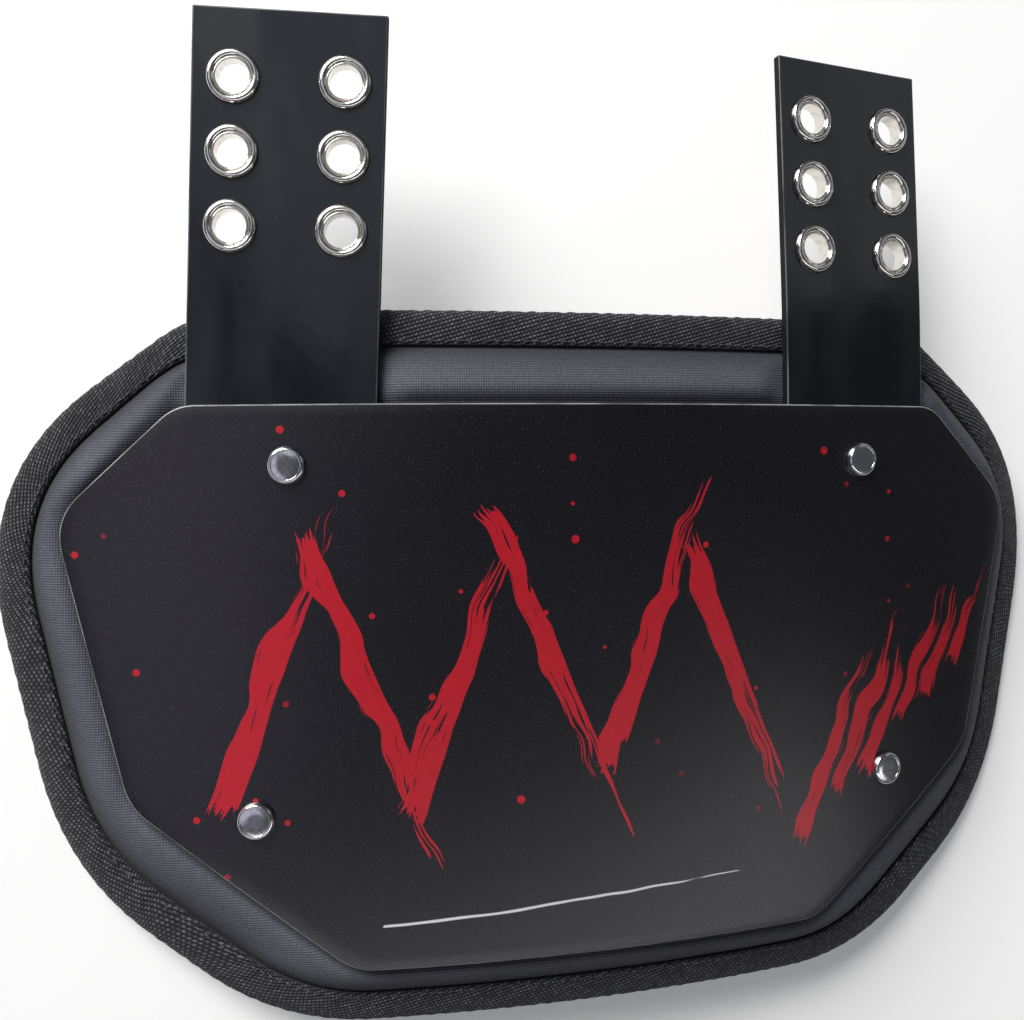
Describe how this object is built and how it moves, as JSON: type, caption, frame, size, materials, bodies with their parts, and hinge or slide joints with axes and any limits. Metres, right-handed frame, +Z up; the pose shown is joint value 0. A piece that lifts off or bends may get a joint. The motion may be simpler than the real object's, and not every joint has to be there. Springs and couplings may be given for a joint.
{
  "type": "football back plate",
  "caption": "Curved back plate for football shoulder pads: a hard octagonal shell on a bound fabric pad, with stiff upright straps that carry eyelets for lacing or bolting on.",
  "frame": {"origin": "under the middle of the part's box, on the table that the lower rim of the pad rests on", "axes": "+X to the right as the plate's face is looked at, +Y towards the strap ends, +Z up, out of the plate's face"},
  "size_m": [0.3802, 0.3122, 0.0579],
  "materials": {
    "knit_cloth": "charcoal ribbed knit over foam",
    "woven_tape": "black twill binding tape",
    "plate_plastic": "satin black shell with a fine sparkle",
    "strap_plastic": "glossy blue-black sheet",
    "nickel": "polished nickel plate",
    "chrome": "polished chrome plate"
  },
  "bodies": {
    "root": {"back_pad": "knit_cloth", "edge_binding": "woven_tape", "face_plate": "plate_plastic", "strap_left": "strap_plastic", "strap_right": "strap_plastic", "eyelet_left_outer_top": "nickel", "eyelet_left_outer_middle": "nickel", "eyelet_left_outer_bottom": "nickel", "eyelet_left_inner_top": "nickel", "eyelet_left_inner_middle": "nickel", "eyelet_left_inner_bottom": "nickel", "eyelet_right_inner_top": "nickel", "eyelet_right_inner_middle": "nickel", "eyelet_right_inner_bottom": "nickel", "eyelet_right_outer_top": "nickel", "eyelet_right_outer_middle": "nickel", "eyelet_right_outer_bottom": "nickel", "screw_upper_left": "chrome", "screw_lower_left": "chrome", "screw_upper_right": "chrome", "screw_lower_right": "chrome"}
  },
  "joints": []
}
